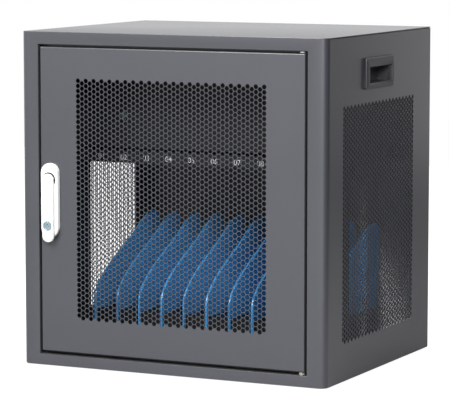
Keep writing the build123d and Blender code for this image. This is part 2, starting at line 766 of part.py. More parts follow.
# Lever: a rounded bar over the escutcheon, with a boss sunk in the round recess. The
# boss is pocketed for the tongue and relieved at the back so that the lever can lift
relief_reach = boss_back - lever_pin_y
relief_top = lever_width
lift = radians(lift_angle)
relief_start = relief_reach * (1 - cos(lift)) / sin(lift)
relief_inner = (relief_reach - relief_top * sin(lift)) / cos(lift)
with BuildPart() as lever:
    with BuildSketch(facing_front(lever_back)):
        with Locations((handle_x, (hub_z + lever_width / 2 + lever_bottom) / 2)):
            SlotOverall(hub_z + lever_width / 2 - lever_bottom, lever_width, rotation=90)
    extrude(amount=lever_back - lever_front)
    chamfer(lever.faces().sort_by(Axis.Y)[0].edges(), lever_edge)
    with BuildSketch(facing_front(boss_back)):
        with Locations((handle_x, hub_z)):
            Circle(lever_boss_radius)
    extrude(amount=boss_back - lever_back)
    with BuildSketch(facing_side(handle_x)):
        with Locations((lever_pin_y - tongue_radius - tongue_air, lever_pin_z - tongue_radius - tongue_air)):
            Rectangle(relief_reach + tongue_radius + 2 * tongue_air,
                      2 * (tongue_radius + tongue_air) + pocket_spare, align=(Align.MIN, Align.MIN))
    extrude(amount=tongue_width / 2 + tongue_air, both=True, mode=Mode.SUBTRACT)
    with BuildSketch(facing_side(handle_x)):
        with BuildLine():
            Polyline((boss_back, lever_pin_z + relief_start), (boss_back, lever_pin_z + relief_top),
                     (lever_pin_y + relief_inner, lever_pin_z + relief_top), close=True)
        make_face()
    extrude(amount=lever_width, both=True, mode=Mode.SUBTRACT)
    with BuildSketch(facing_side(handle_x)):
        with Locations((lever_pin_y, lever_pin_z)):
            Circle(lever_pin_radius + seat_fit)
    extrude(amount=lever_width / 2, both=True, mode=Mode.SUBTRACT)
    with BuildSketch(facing_front(lever_front)):
        with Locations((handle_x, lock_z)):
            Circle(lock_ring_radius)
    extrude(amount=-lock_depth, mode=Mode.SUBTRACT)
lever.part.label = "lever"
export_step(lever.part, "parts/lever.step")

with BuildPart() as lever_pin:
    with BuildSketch(facing_side(handle_x)):
        with Locations((lever_pin_y, lever_pin_z)):
            Circle(lever_pin_radius)
    extrude(amount=lever_pin_length / 2, both=True)
lever_pin.part.label = "lever_pin"
export_step(lever_pin.part, "parts/lever_pin.step")

# Lock: a ring pressed into the lever and the plug that the key turns
with BuildPart() as lock_ring:
    with BuildSketch(facing_front(lever_front + lock_depth)):
        with Locations((handle_x, lock_z)):
            Circle(lock_ring_radius - seat_fit)
            Circle(lock_plug_radius + running_fit, mode=Mode.SUBTRACT)
    extrude(amount=lock_depth + lock_rise)
lock_ring.part.label = "lock_ring"
export_step(lock_ring.part, "parts/lock_ring.step")

with BuildPart() as lock_plug:
    with BuildSketch(facing_front(lever_front + lock_depth - running_fit)):
        with Locations((handle_x, lock_z)):
            Circle(lock_plug_radius)
    extrude(amount=lock_depth)
    with BuildSketch(facing_front(lever_front - running_fit)):
        with Locations((handle_x, lock_z)):
            Rectangle(keyway_width, keyway_length)
            Circle(keyway_width)
    extrude(amount=-keyway_depth, mode=Mode.SUBTRACT)
lock_plug.part.label = "lock_plug"
export_step(lock_plug.part, "parts/lock_plug.step")

# Latch cam on the square of the spindle, held by a nut
with BuildPart() as latch_cam:
    with BuildSketch(facing_front(cam_front)):
        with Locations((handle_x, hub_z - cam_length / 2 + cam_width / 4)):
            SlotOverall(cam_length + cam_width / 2, cam_width, rotation=90)
        with Locations((handle_x, hub_z)):
            Rectangle(spindle_square + 2 * seat_fit, spindle_square + 2 * seat_fit, mode=Mode.SUBTRACT)
    extrude(amount=-cam_thickness)
latch_cam.part.label = "latch_cam"
export_step(latch_cam.part, "parts/latch_cam.step")

with BuildPart() as cam_nut:
    with BuildSketch(facing_front(cam_front + cam_thickness)):
        with Locations((handle_x, hub_z)):
            RegularPolygon(nut_across / 2, 6, major_radius=False)
            Circle(spindle_end_radius + seat_fit, mode=Mode.SUBTRACT)
    extrude(amount=-nut_height)
cam_nut.part.label = "cam_nut"
export_step(cam_nut.part, "parts/cam_nut.step")
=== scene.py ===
# %% [markdown]
# A laptop charging cabinet: a powder-coated steel box with a door and sides of
# perforated sheet, blue laptop dividers inside and a white lifting handle. The CAD
# model gives the construction. This script gives it its looks, piece by piece.

# %% Load the frame and keep its size
import bmesh
import bpy
import json
from math import atan2, cos, pi, radians, sin, sqrt
from mathutils import Matrix, Vector


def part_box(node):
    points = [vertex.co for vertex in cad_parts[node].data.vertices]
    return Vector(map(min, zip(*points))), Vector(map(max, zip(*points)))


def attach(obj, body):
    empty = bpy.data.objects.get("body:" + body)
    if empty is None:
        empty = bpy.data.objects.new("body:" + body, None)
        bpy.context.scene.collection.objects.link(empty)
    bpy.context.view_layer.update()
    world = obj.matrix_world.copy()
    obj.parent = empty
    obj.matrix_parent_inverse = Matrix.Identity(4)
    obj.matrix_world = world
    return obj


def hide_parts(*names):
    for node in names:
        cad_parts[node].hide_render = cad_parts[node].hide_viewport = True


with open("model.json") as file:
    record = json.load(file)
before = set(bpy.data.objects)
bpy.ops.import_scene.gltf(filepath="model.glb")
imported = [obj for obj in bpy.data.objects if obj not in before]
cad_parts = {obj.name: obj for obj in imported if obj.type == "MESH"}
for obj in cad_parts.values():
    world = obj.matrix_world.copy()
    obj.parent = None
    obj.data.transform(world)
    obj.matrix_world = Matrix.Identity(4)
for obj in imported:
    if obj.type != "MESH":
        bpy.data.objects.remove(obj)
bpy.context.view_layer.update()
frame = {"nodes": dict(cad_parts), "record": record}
MM = 0.001
print("nodes:", len(frame["nodes"]))

# %% [markdown]
# The photograph was taken from far away with a long lens, a little above the middle of
# the cabinet and to its right. A long lens keeps the edges nearly parallel, so the
# camera stands 4.1 m away, and its direction is given by a turn and a tilt.

# %% Camera
CAMERA_TURN = radians(25.845)
CAMERA_TILT = radians(6.628)
CAMERA_PLACE = Vector((1.7892, -3.7037, 0.7238))
CAMERA_LENS = 206.6
SENSOR_WIDTH = 36.0
FAR_CLIP = 50.0

camera_data = bpy.data.cameras.new("studio_camera")
camera_data.lens = CAMERA_LENS
camera_data.sensor_width = SENSOR_WIDTH
camera_data.clip_end = FAR_CLIP
camera = bpy.data.objects.new("studio_camera", camera_data)
camera.location = CAMERA_PLACE
camera.rotation_euler = (pi / 2 - CAMERA_TILT, 0.0, CAMERA_TURN)
bpy.context.scene.collection.objects.link(camera)
bpy.context.scene.camera = camera
bpy.context.scene.view_settings.view_transform = "Standard"
print("camera at", tuple(round(value, 3) for value in camera.location))


# %% [markdown]
# Every colour below is written as an sRGB hex value, as a colour picker gives it.
# Blender's shaders work in linear light, so one function turns hex into linear.

# %% Colours and shader nodes
def linear(hex_colour):
    """Turns an sRGB hex value such as "#808080" into a linear colour with alpha."""
    channels = [int(hex_colour[start:start + 2], 16) / 255 for start in (1, 3, 5)]
    curve = [level / 12.92 if level <= 0.04045 else ((level + 0.055) / 1.055) ** 2.4 for level in channels]
    return (*curve, 1.0)


def add_node(tree, kind, links=None, **settings):
    """Adds a node, sets its own settings, and fills its inputs with values or other sockets."""
    node = tree.nodes.new(kind)
    for name, value in settings.items():
        setattr(node, name, value)
    for name, value in (links or {}).items():
        if isinstance(value, bpy.types.NodeSocket):
            tree.links.new(value, node.inputs[name])
        else:
            node.inputs[name].default_value = value
    return node


def new_material(name, **shader):
    """A material with a Principled shader, and its tree, for patterns to be added to."""
    material = bpy.data.materials.new(name)
    material.use_nodes = True
    tree = material.node_tree
    tree.nodes.clear()
    surface = add_node(tree, "ShaderNodeBsdfPrincipled", shader)
    output = add_node(tree, "ShaderNodeOutputMaterial")
    tree.links.new(surface.outputs["BSDF"], output.inputs["Surface"])
    return material, tree, surface


def per_metre(millimetres):
    """The Noise scale that gives one grain in so many millimetres."""
    return 1.0 / (millimetres * MM)


print("mid grey is", round(linear("#808080")[0], 3))


# %% [markdown]
# Powder coat is a baked thermoset paint, sprayed on as dry powder. It melts into a
# tough satin skin with a fine orange peel, so highlights on it are wide and slightly
# broken. The real peel is about 0.5 mm; it is drawn at 1.1 mm so that it shows.

# %% Powder coat
CLOUD_MM = 90
PEEL_MM = 1.1
PEEL_HEIGHT = 0.02 * MM
PEEL_STRENGTH = 0.2
GLOSS_SPREAD = 0.05


def powder_coat(name, dark, pale, roughness, **extra):
    """A coat that drifts between two close colours, with an orange peel. Extra values go on the shader."""
    material, tree, surface = new_material(name, **{"IOR": 1.5, **extra})
    place = add_node(tree, "ShaderNodeTexCoord").outputs["Object"]
    cloud = add_node(tree, "ShaderNodeTexNoise", {"Vector": place, "Scale": per_metre(CLOUD_MM),
                                                  "Detail": 2.0})
    mix = add_node(tree, "ShaderNodeMix", {"Factor": cloud.outputs["Fac"]}, data_type="RGBA")
    mix.inputs["A"].default_value = linear(dark)
    mix.inputs["B"].default_value = linear(pale)
    tree.links.new(mix.outputs["Result"], surface.inputs["Base Color"])
    peel = add_node(tree, "ShaderNodeTexNoise", {"Vector": place, "Scale": per_metre(PEEL_MM), "Detail": 3.0})
    gloss = add_node(tree, "ShaderNodeMapRange", {"Value": peel.outputs["Fac"],
                                                  "From Min": 0.3, "From Max": 0.7,
                                                  "To Min": roughness - GLOSS_SPREAD,
                                                  "To Max": roughness + GLOSS_SPREAD})
    tree.links.new(gloss.outputs["Result"], surface.inputs["Roughness"])
    bump = add_node(tree, "ShaderNodeBump", {"Height": peel.outputs["Fac"], "Strength": PEEL_STRENGTH,
                                             "Distance": PEEL_HEIGHT})
    tree.links.new(bump.outputs["Normal"], surface.inputs["Normal"])
    return material


outer_coat = powder_coat("powder_coat_graphite", "#303136", "#34353A", 0.34,
                         **{"Coat Weight": 0.3, "Coat Roughness": 0.2})
# The back panel's coat is the same coat made darker: painted shade for the inside of the cabinet.
back_coat_painted_shade = powder_coat("powder_coat_back_painted_shade", "#1A1B1D", "#1E1F21", 0.45)
inner_coat = powder_coat("powder_coat_inside", "#101112", "#141516", 0.5, **{"Specular IOR Level": 0.2})
print("powder coats:", outer_coat.name, back_coat_painted_shade.name, inner_coat.name)


# %% [markdown]
# The other finishes are moulded plastic, enamel on a die casting, plated metal and
# rubber. They share one function: a base colour, a roughness and a fine surface
# grain. A moulded part has the grain of the tool's spark-eroded skin, an enamelled
# one is nearly smooth, and plated steel has faint streaks from rolling.

# %% Plastics, enamel, rubber and metals
ROUGHNESS_SPREAD = 0.2
GRAIN_STRENGTH = 0.4


def grained(name, colour, roughness, grain_mm, grain_height, metallic=0.0, stretch=(1, 1, 1), shade=0.12,
            **extra):
    """A finish whose colour, roughness and height follow one fine grain. Its height is in millimetres."""
    material, tree, surface = new_material(name, **{"Metallic": metallic, **extra})
    place = add_node(tree, "ShaderNodeTexCoord").outputs["Object"]
    along = add_node(tree, "ShaderNodeMapping", {"Vector": place, "Scale": stretch}).outputs["Vector"]
    grain = add_node(tree, "ShaderNodeTexNoise", {"Vector": along, "Scale": per_metre(grain_mm),
                                                  "Detail": 4.0})
    base = linear(colour)
    mix = add_node(tree, "ShaderNodeMix", {"Factor": grain.outputs["Fac"]}, data_type="RGBA")
    mix.inputs["A"].default_value = (*[level * (1 - shade) for level in base[:3]], 1.0)
    mix.inputs["B"].default_value = (*[min(1.0, level * (1 + shade)) for level in base[:3]], 1.0)
    tree.links.new(mix.outputs["Result"], surface.inputs["Base Color"])
    gloss = add_node(tree, "ShaderNodeMapRange", {"Value": grain.outputs["Fac"],
                                                  "To Min": roughness * (1 - ROUGHNESS_SPREAD),
                                                  "To Max": roughness * (1 + ROUGHNESS_SPREAD)})
    tree.links.new(gloss.outputs["Result"], surface.inputs["Roughness"])
    bump = add_node(tree, "ShaderNodeBump", {"Height": grain.outputs["Fac"], "Strength": GRAIN_STRENGTH,
                                             "Distance": grain_height * MM})
    tree.links.new(bump.outputs["Normal"], surface.inputs["Normal"])
    return material


blue_plastic = grained("polypropylene_blue", "#3787C4", 0.2, 1.5, 0.015, shade=0.06,
                       **{"Specular IOR Level": 0.9})
black_plastic = grained("abs_black_spark", "#232325", 0.5, 0.6, 0.03)
rubber = grained("rubber_black", "#1C1C1C", 0.75, 0.8, 0.05)
white_enamel = grained("enamel_white", "#CACBCA", 0.22, 6.0, 0.01, shade=0.01)
bright_nickel = grained("nickel_bright", "#A3B6BE", 0.24, 2.0, 0.004, metallic=1.0)
zinc_steel = grained("zinc_plate", "#A9ACAE", 0.34, 0.7, 0.01, metallic=1.0, stretch=(1, 1, 0.2))
nylon = grained("nylon_grey", "#75736E", 0.45, 0.8, 0.01)
aluminium = grained("anodised_aluminium", "#A6A8AA", 0.36, 0.5, 0.01, metallic=1.0, stretch=(0.05, 1, 1))
brass = grained("brass_stamped", "#C6A05A", 0.3, 0.6, 0.01, metallic=1.0)
grip_plastic = grained("abs_graphite", "#2F2F33", 0.42, 0.6, 0.03)
black_steel = grained("black_oxide_steel", "#2A2B2D", 0.4, 0.7, 0.01, metallic=0.8)
ink = grained("white_ink", "#A4A6A5", 0.6, 0.4, 0.005, shade=0.05)

SLOT_FINISH = {"powder_coat": outer_coat, "inner_powder_coat": inner_coat, "blue_plastic": blue_plastic,
               "black_plastic": black_plastic, "rubber": rubber, "white_enamel": white_enamel,
               "bright_nickel": bright_nickel, "zinc_steel": zinc_steel, "nylon": nylon,
               "aluminium": aluminium, "brass": brass}
NODE_FINISH = {"left_grip": grip_plastic, "right_grip": grip_plastic, "hinge_pins": black_steel,
               "back_panel": back_coat_painted_shade}
print("finishes:", len(SLOT_FINISH) + 4)

# %% [markdown]
# The CAD nodes that keep their shape get their finish from the record, which names a
# material slot for each of them. A node that is replaced below gets it too. A few nodes
# have a finish of their own; the back panel's is a darker copy of the coat, painted shade.

# %% Dress the CAD nodes
SMOOTH_ANGLE = radians(32)
slot_of = {part["node"]: part["material_slot"] for part in frame["record"]["subparts"]}
for node_name, node_object in frame["nodes"].items():
    finish = NODE_FINISH.get(node_name, SLOT_FINISH[slot_of[node_name]])
    node_object.data.materials.clear()
    node_object.data.materials.append(finish)
    node_object.data.shade_smooth()
    node_object.data.set_sharp_from_angle(angle=SMOOTH_ANGLE)
print("dressed", len(slot_of), "nodes")


# %% [markdown]
# Each new piece is made in the same few steps: a bmesh is filled, its faces are turned
# outwards, it becomes an object at the origin with its place in its mesh, it rides on
# a body, and it stands for the CAD nodes that it replaces.

# %% Finishing a piece
def finish_piece(bm, name, slot_name, body, nodes=(), material=None, smooth=True):
    """Makes an object of a bmesh, gives it a finish and its body, and hides the nodes it stands for."""
    bmesh.ops.recalc_face_normals(bm, faces=bm.faces[:])
    mesh = bpy.data.meshes.new(name)
    bm.to_mesh(mesh)
    bm.free()
    mesh.materials.append(material or SLOT_FINISH[slot_name])
    piece = bpy.data.objects.new(name, mesh)
    bpy.context.scene.collection.objects.link(piece)
    if smooth:
        mesh.shade_smooth()
        mesh.set_sharp_from_angle(angle=SMOOTH_ANGLE)
    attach(piece, body)
    if nodes:
        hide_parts(*nodes)
    print(name, "has", len(mesh.polygons), "faces")


def panel_matrix(origin, right, out):
    """Turns a drawing in local X and Y into a panel: X goes along right, Y goes up, Z out."""
    right, out = Vector(right), Vector(out)
    up = out.cross(right)
    turn = Matrix((right, up, out)).transposed().to_4x4()
    return Matrix.Translation(Vector(origin)) @ turn


# %% [markdown]
# Perforated sheet is punched by a gang of hexagonal punches, so the webs between holes
# are thin and even. The pitch is 8 mm with holes of 7 mm, and the door has 47 columns
# of 47 rows. Each hexagonal cell is one circle of six sides, and the cells are welded
# and inset, and their middles deleted, which leaves the web. One triangle fill then
# makes the plain border between the zigzag of cells and the straight edge.

# %% Perforated sheet
SHEET = 1.5 * MM
PITCH = 8.0 * MM
WEB = 0.13 * PITCH
WELD = 0.02 * MM


def loop_edges(bm, corners):
    """A closed loop of edges through the corners, without a face."""
    verts = [bm.verts.new((x, y, 0)) for x, y in corners]
    return [bm.edges.new(pair) for pair in zip(verts, verts[1:] + verts[:1])]


def perforated(columns, rows, window, border, cut_outs=()):
    """A flat sheet in local XY with a field of holes centred on window, inside border = (x0, y0, x1, y1)."""
    bm = bmesh.new()
    step = PITCH * sqrt(3) / 2
    for column in range(columns):
        x = window[0] + (column - (columns - 1) / 2) * step
        lift = PITCH / 4 if column % 2 == 0 else -PITCH / 4
        for row in range(rows):
            y = window[1] + (row - (rows - 1) / 2) * PITCH + lift
            cell = Matrix.Translation((x, y, 0)) @ Matrix.Rotation(radians(30), 4, "Z")
            bmesh.ops.create_circle(bm, cap_ends=True, segments=6, radius=PITCH / sqrt(3), matrix=cell)
    bmesh.ops.remove_doubles(bm, verts=bm.verts[:], dist=WELD)
    cells = bm.faces[:]
    zigzag = [edge for edge in bm.edges if edge.is_boundary]
    x0, y0, x1, y1 = border
    edges = zigzag + loop_edges(bm, [(x0, y0), (x1, y0), (x1, y1), (x0, y1)])
    for corners in cut_outs:
        edges += loop_edges(bm, corners)
    bmesh.ops.triangle_fill(bm, use_beauty=True, use_dissolve=False, edges=edges, normal=(0, 0, 1))
    bmesh.ops.inset_individual(bm, faces=cells, thickness=WEB / 2, use_even_offset=True)
    bmesh.ops.delete(bm, geom=cells, context="FACES")
    return bm


def on_line(edge, axis, value):
    """Whether an edge lies on the line where the coordinate of one axis has a value."""
    return all(abs(vert.co[axis] - value) < WELD for vert in edge.verts)


def outline_edges(bm, x0, y0, x1, y1):
    """The open edges that lie on a rectangle."""
    return [edge for edge in bm.edges
            if edge.is_boundary and (on_line(edge, 0, x0) or on_line(edge, 0, x1)
                                     or on_line(edge, 1, y0) or on_line(edge, 1, y1))]


def thicken(bm):
    """Turns the sheet's outer face to local +Z and gives it its thickness behind that face."""
    bmesh.ops.recalc_face_normals(bm, faces=bm.faces[:])
    outer_faces = [face for face in bm.faces if abs(face.calc_center_median().z) < WELD]
    if sum(face.normal.z * face.calc_area() for face in outer_faces) < 0:
        bmesh.ops.reverse_faces(bm, faces=bm.faces[:])
    bmesh.ops.solidify(bm, geom=bm.faces[:], thickness=SHEET)


print("perforation: pitch", PITCH / MM, "mm, web", round(WEB / MM, 2), "mm")

# %% [markdown]
# The door is a shallow tray: the perforated face, a soft bend all round and a return
# behind it. The border of the fill stops 3 mm short of the edge, so that the bend has
# clean strips of its own to be rounded. The gap round the photographed door is a little
# wider than the one between the CAD pieces, so the door is a little smaller all round.

# %% Door
door_low, door_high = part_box("door_panel")
DOOR_HOLES = (47, 47)
DOOR_WINDOW_Z = 267.0 * MM
BEND_STRIP = 3.0 * MM
BEND_RADIUS = 1.2 * MM
EDGE_AIR = 0.8 * MM


def circle_corners(centre, radius, count=24):
    """The corners of a polygon that stands for a circle."""
    angles = [2 * pi * step / count for step in range(count)]
    return [(centre[0] + radius * cos(angle), centre[1] + radius * sin(angle)) for angle in angles]


def move_outline(bm, edges, x0, y0, x1, y1):
    """Moves the corners of a new outline loop onto another rectangle."""
    middle = Vector(((x0 + x1) / 2, (y0 + y1) / 2))
    for vert in {vert for edge in edges for vert in edge.verts}:
        vert.co.x = x1 if vert.co.x > middle.x else x0
        vert.co.y = y1 if vert.co.y > middle.y else y0


hub_low, hub_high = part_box("handle_hub")
hub_x = (hub_low[0] + hub_high[0]) / 2
HUB_Z = 297.0 * MM
SPINDLE_HOLE = 5.3 * MM

half_width = (door_high[0] - door_low[0]) / 2 - EDGE_AIR
outer = (-half_width, door_low[2] + EDGE_AIR, half_width, door_high[2] - EDGE_AIR)
inner = (outer[0] + BEND_STRIP, outer[1] + BEND_STRIP, outer[2] - BEND_STRIP, outer[3] - BEND_STRIP)
bm = perforated(*DOOR_HOLES, (0, DOOR_WINDOW_Z), inner, [circle_corners((hub_x, HUB_Z), SPINDLE_HOLE)])
rim = bmesh.ops.extrude_edge_only(bm, edges=outline_edges(bm, *inner))["geom"]
rim_edges = [part for part in rim if isinstance(part, bmesh.types.BMEdge) and part.is_boundary]
move_outline(bm, rim_edges, *outer)
back = bmesh.ops.extrude_edge_only(bm, edges=rim_edges)["geom"]
back_verts = [part for part in back if isinstance(part, bmesh.types.BMVert)]
bmesh.ops.translate(bm, verts=back_verts, vec=(0, 0, -(door_high[1] - door_low[1])))
bmesh.ops.bevel(bm, geom=rim_edges, offset=BEND_RADIUS, segments=3, affect="EDGES", profile=0.5, material=-1)
thicken(bm)
bmesh.ops.transform(bm, matrix=panel_matrix((0, door_low[1], 0), (1, 0, 0), (0, -1, 0)), verts=bm.verts[:])
finish_piece(bm, "perforated_door", "powder_coat", "door", ["door_panel"], smooth=False)

# %% [markdown]
# The side panels are punched with the same tool: 41 columns of 45 rows. The left one
# has its window a little further back. Above the window is the cut-out for the grip,
# which the grip's bezel laps over. A seam of 1 mm is left below the top panel.

# %% Side panels
SIDE_HOLES = (41, 45)
SIDE_WINDOW_Z = 241.0 * MM
WINDOW_FROM_BACK = {"right_side_panel": 214.0 * MM, "left_side_panel": 184.0 * MM}
SEAM = 1.0 * MM
GRIP_END_LAP = 9.0 * MM
GRIP_LOW_LAP = 3.6 * MM
GRIP_HIGH_LAP = 15.0 * MM

for side_name, right, out in (("right_side_panel", (0, 1, 0), (1, 0, 0)),
                              ("left_side_panel", (0, -1, 0), (-1, 0, 0))):
    low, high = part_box(side_name)
    grip_low, grip_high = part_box(side_name.replace("side_panel", "grip"))
    sign = right[1]
    span = sorted((sign * low[1], sign * high[1]))
    window_x = sign * (high[1] - WINDOW_FROM_BACK[side_name])
    grip_x = sign * (grip_low[1] + grip_high[1]) / 2
    reach = (grip_high[1] - grip_low[1]) / 2 - GRIP_END_LAP
    cut_low, cut_high = grip_low[2] + GRIP_LOW_LAP, grip_high[2] - GRIP_HIGH_LAP
    cut = [(grip_x - reach, cut_low), (grip_x + reach, cut_low),
           (grip_x + reach, cut_high), (grip_x - reach, cut_high)]
    border = (span[0], low[2], span[1], high[2] - SEAM)
    bm = perforated(*SIDE_HOLES, (window_x, SIDE_WINDOW_Z), border, [cut])
    thicken(bm)
    face_x = high[0] if out[0] > 0 else low[0]
    bmesh.ops.transform(bm, matrix=panel_matrix((face_x, 0, 0), right, out), verts=bm.verts[:])
    finish_piece(bm, side_name.replace("side_panel", "perforated_side"), "powder_coat", "cabinet",
                 [side_name], smooth=False)

# %% [markdown]
# The front frame is one folded sheet: a face round the door opening, corners bent to
# 12 mm that wrap onto the sides, and a jamb with a lip that stops the door.

# %% Front frame
frame_low, frame_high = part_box("front_frame")
CORNER_RADIUS = 12.0 * MM
CORNER_STEPS = 10
WRAP = 2.0 * MM
OPENING = (-230.5 * MM, 19.5 * MM, 230.5 * MM, 508.5 * MM)
LIP_DEPTH = 16.5 * MM
LIP_WIDTH = 8.0 * MM
JAMB_RADIUS = 0.7 * MM


def rectangle(x0, y0, x1, y1):
    """The four corners of a rectangle, in order."""
    return [(x0, y0), (x1, y0), (x1, y1), (x0, y1)]


def extruded(bm, edges, vec):
    """Extrudes open edges by a vector, and returns the new open edges."""
    made = bmesh.ops.extrude_edge_only(bm, edges=edges)["geom"]
    verts = [part for part in made if isinstance(part, bmesh.types.BMVert)]
    bmesh.ops.translate(bm, verts=verts, vec=vec)
    return [part for part in made if isinstance(part, bmesh.types.BMEdge) and part.is_boundary
            and all(vert in verts for vert in part.verts)]


flat_half = frame_high[0] - CORNER_RADIUS
bm = bmesh.new()
border = loop_edges(bm, rectangle(-flat_half, frame_low[2], flat_half, frame_high[2]))
hole = loop_edges(bm, rectangle(*OPENING))
bmesh.ops.triangle_fill(bm, use_beauty=True, use_dissolve=True, edges=border + hole, normal=(0, 0, 1))
for side in (1, -1):
    bend = [edge for edge in bm.edges if edge.is_boundary and on_line(edge, 0, side * flat_half)]
    for step in range(CORNER_STEPS):
        bend = extruded(bm, bend, (0, 0, 0))
        bmesh.ops.rotate(bm, verts=list({vert for edge in bend for vert in edge.verts}),
                         cent=(side * flat_half, 0, -CORNER_RADIUS),
                         matrix=Matrix.Rotation(side * pi / 2 / CORNER_STEPS, 3, "Y"))
    extruded(bm, bend, (0, 0, -WRAP))
front_edge = [edge for edge in outline_edges(bm, *OPENING) if on_line(edge, 2, 0)]
lip_edge = extruded(bm, front_edge, (0, 0, -LIP_DEPTH))
stop = extruded(bm, lip_edge, (0, 0, 0))
move_outline(bm, stop, OPENING[0] + LIP_WIDTH, OPENING[1] + LIP_WIDTH,
             OPENING[2] - LIP_WIDTH, OPENING[3] - LIP_WIDTH)
bmesh.ops.bevel(bm, geom=front_edge, offset=JAMB_RADIUS, segments=2, affect="EDGES", profile=0.5, material=-1)
thicken(bm)
bmesh.ops.transform(bm, matrix=panel_matrix((0, frame_low[1], 0), (1, 0, 0), (0, -1, 0)), verts=bm.verts[:])
finish_piece(bm, "folded_front_frame", "powder_coat", "cabinet", ["front_frame"])

# %% [markdown]
# The gap round the door is black, from shade deep inside it. Thin black strips on the
# jamb and on the returns of the door are painted shade that makes it so. What makes
# it black isn't seen.

# %% Painted shade in the door gap
GAP_SHADE_SHEET = 0.2 * MM
GAP_SHADE_AIR = 0.05 * MM
JAMB_SHADE_DEPTHS = (1.0 * MM, 16.0 * MM)
DOOR_SHADE_DEPTHS = (2.0 * MM, 12.5 * MM)


def painted_shade_loop(name, body, sides, grow, front, back):
    """A thin black loop of painted shade along a grown rectangle, between two depths behind the front face.
    """
    x0, y0, x1, y1 = sides
    bm = bmesh.new()
    loop = loop_edges(bm, rectangle(x0 - grow, y0 - grow, x1 + grow, y1 + grow))
    bmesh.ops.translate(bm, verts=bm.verts[:], vec=(0, 0, -front))
    extruded(bm, loop, (0, 0, front - back))
    bmesh.ops.recalc_face_normals(bm, faces=bm.faces[:])
    bmesh.ops.solidify(bm, geom=bm.faces[:], thickness=GAP_SHADE_SHEET)
    to_front = panel_matrix((0, door_low[1], 0), (1, 0, 0), (0, -1, 0))
    bmesh.ops.transform(bm, matrix=to_front, verts=bm.verts[:])
    finish_piece(bm, name, "rubber", body, smooth=False)


painted_shade_loop("jamb_painted_shade", "cabinet", OPENING, -(GAP_SHADE_SHEET + GAP_SHADE_AIR), *JAMB_SHADE_DEPTHS)
painted_shade_loop("door_painted_shade", "door", outer, GAP_SHADE_SHEET + GAP_SHADE_AIR, *DOOR_SHADE_DEPTHS)

# %% [markdown]
# Some CAD pieces need only their edges softened, because no real edge is knife sharp
# and a thin highlight runs along it. Their meshes are copied, welded, freed of the
# lines inside flat faces, and bevelled along the edges that a test picks. Parts with
# shallow facets are bevelled only where they bend by more than 40 degrees.

# %% Softened copies of CAD pieces
FLAT_ANGLE = radians(0.5)
STEEP = 40.0
PANEL_RADIUS_MM = 0.7
BASE_SIDE = 0.24


def node_bmesh(node_name):
    """The node's mesh as a clean bmesh in the frame, with flat faces joined."""
    node = frame["nodes"][node_name]
    bm = bmesh.new()
    bm.from_mesh(node.data)
    bm.transform(node.matrix_world)
    bmesh.ops.remove_doubles(bm, verts=bm.verts[:], dist=WELD / 2)
    bmesh.ops.dissolve_limit(bm, angle_limit=FLAT_ANGLE, verts=bm.verts[:], edges=bm.edges[:])
    return bm


def sharp_edges(bm, least=25.0, pick=None):
    """The edges that bend by more than so many degrees and whose ends pass the test."""
    return [edge for edge in bm.edges if len(edge.link_faces) == 2 and edge.calc_face_angle() > radians(least)
            and (pick is None or all(pick(vert.co) for vert in edge.verts))]


def soften(node_name, radius_mm, segments=2, least=25.0, pick=None, body="cabinet"):
    """Replaces a node with a copy whose sharp edges are rounded."""
    bm = node_bmesh(node_name)
    bmesh.ops.bevel(bm, geom=sharp_edges(bm, least, pick), offset=radius_mm * MM, segments=segments,
                    affect="EDGES", profile=0.5, material=-1)
    bmesh.ops.triangulate(bm, faces=[face for face in bm.faces if len(face.verts) > 4])
    finish_piece(bm, f"{node_name}_soft", slot_of[node_name], body, [node_name], NODE_FINISH.get(node_name))


top_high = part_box("top_panel")[1]
base_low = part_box("base_panel")[0]
soften("top_panel", PANEL_RADIUS_MM, 3, pick=lambda co: co.z > top_high[2] - WELD)
soften("base_panel", PANEL_RADIUS_MM, 3, pick=lambda co: co.z < base_low[2] + WELD and abs(co.x) > BASE_SIDE)

# %% [markdown]
# The dividers are moulded plates of 4 mm with a full, soft rim. The rim is what
# shows through the holes of the door as a pale blue line.

# %% Dividers
DIVIDER_NAMES = [f"divider_{number:02d}" for number in range(1, 12)]
DIVIDER_RIM_MM = 1.5

for name in DIVIDER_NAMES:
    soften(name, DIVIDER_RIM_MM, 3, least=STEEP)

# %% [markdown]
# The handle is die cast, so all its outer edges are well rounded before it is
# enamelled. Its plate has a round recess for the lever's boss. A thin black cup in
# that recess is painted shade: it shows as a dark arc over the top of the lever.

# %% Lifting handle
CAST_RADIUS_MM = 0.9
TURNED_RADIUS_MM = 0.12
PLATE_RIM = 5.5 * MM
LEVER_RIM = 3.0 * MM

lever_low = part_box("lever")[0]
soften("escutcheon", CAST_RADIUS_MM, 3, body="door", pick=lambda co: co.y < door_low[1] - PLATE_RIM)
soften("lever", CAST_RADIUS_MM, 3, body="handle_lever", pick=lambda co: co.y < lever_low[1] + LEVER_RIM)
for name, body in (("handle_hub", "handle_spindle"), ("lock_ring", "handle_lever"),
                   ("lock_plug", "lock_plug")):
    soften(name, TURNED_RADIUS_MM, 2, least=STEEP, body=body)

# %% [markdown]
# The liner is a thin cup: a short profile, spun once round the axis of the handle.

# %% Painted shade in the handle's recess
RECESS_SHADE_RADIUS = 11.45 * MM
RECESS_SHADE_BORE = 5.4 * MM
RECESS_SHADE_LOW = 3.05 * MM
RECESS_SHADE_HIGH = 7.6 * MM
RECESS_SHADE_SHEET = 0.1 * MM

